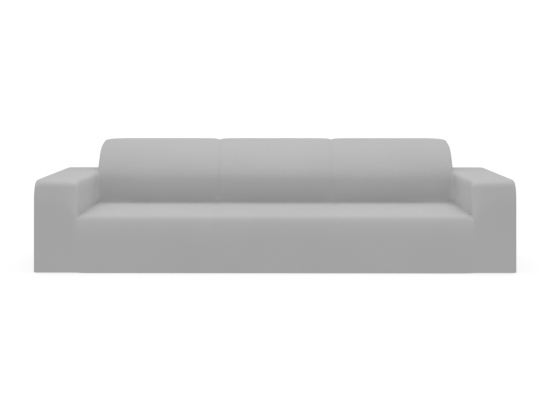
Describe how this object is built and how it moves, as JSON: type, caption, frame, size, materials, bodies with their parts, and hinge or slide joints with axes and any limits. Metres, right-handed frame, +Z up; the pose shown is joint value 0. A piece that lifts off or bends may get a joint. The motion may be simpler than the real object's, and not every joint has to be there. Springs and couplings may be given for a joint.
{
  "type": "sofa slipcover",
  "caption": "Stretch slipcover for a long sofa: a hollow sheet open at the hem, with box arms, a flat seat and a rounded back with shallow grooves between its cushions.",
  "frame": {"origin": "underside of the seat panel, at the middle of the cover's plan, where the sofa inside carries the cloth", "axes": "+X along the sofa to the sitter's left, seen from the front to the right; +Y from the front panel to the rear panel; +Z up"},
  "size_m": [3, 1, 0.791],
  "materials": {
    "stretch_cloth": "matt fine-ribbed stretch knit, light neutral grey"
  },
  "bodies": {
    "root": {"slipcover": "stretch_cloth"}
  },
  "joints": []
}
